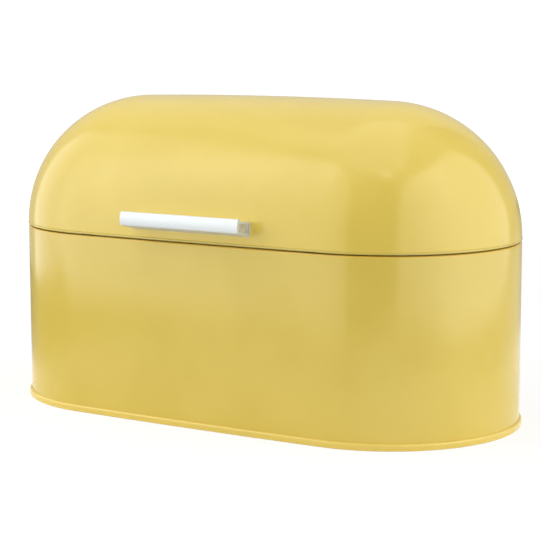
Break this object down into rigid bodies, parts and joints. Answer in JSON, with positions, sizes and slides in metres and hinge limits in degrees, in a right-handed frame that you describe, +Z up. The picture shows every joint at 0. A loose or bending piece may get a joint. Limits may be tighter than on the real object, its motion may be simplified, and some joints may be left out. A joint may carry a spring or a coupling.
{
  "type": "bread box",
  "caption": "Oval sheet-steel bread box with full round ends, a hinged half-capsule lid, a rolled base bead and an aluminium bar handle.",
  "frame": {"origin": "centre of the body's oval plan, on the ground plane that the base bead stands on", "axes": "+X along the box's long side towards its right end, -Y out of the front with the handle, +Z up"},
  "size_m": [0.4236, 0.2302, 0.2445],
  "materials": {
    "painted_steel": "semi-gloss pale yellow powder coat",
    "satin_aluminium": "satin anodised",
    "plug_aluminium": "satin, warm grey",
    "plated_steel": "bright zinc plate",
    "pin_steel": "drawn steel",
    "rivet_aluminium": "plain",
    "silicone": "matt dark silicone"
  },
  "bodies": {
    "box": {"body_wall": "painted_steel", "base_pan": "painted_steel", "mouth_collar": "painted_steel", "mouth_bumpers": "silicone", "body_leaf_rivets": "rivet_aluminium", "hinge_body_leaf_left": "plated_steel", "hinge_body_leaf_right": "plated_steel", "hinge_pin_left": "pin_steel", "hinge_pin_right": "pin_steel"},
    "lid": {"lid_shell": "painted_steel", "handle_bar": "satin_aluminium", "handle_end_plugs": "plug_aluminium", "handle_screws": "plated_steel", "handle_washers": "plated_steel", "handle_nuts": "plated_steel", "lid_leaf_rivets": "rivet_aluminium", "hinge_lid_leaf_left": "plated_steel", "hinge_lid_leaf_right": "plated_steel"}
  },
  "joints": [
    {"name": "lid_hinge", "type": "hinge", "parent": "box", "child": "lid", "pos_m": [0, 0.1056, 0.13975], "axis": [-1, 0, 0], "range_deg": [0, 98]}
  ]
}
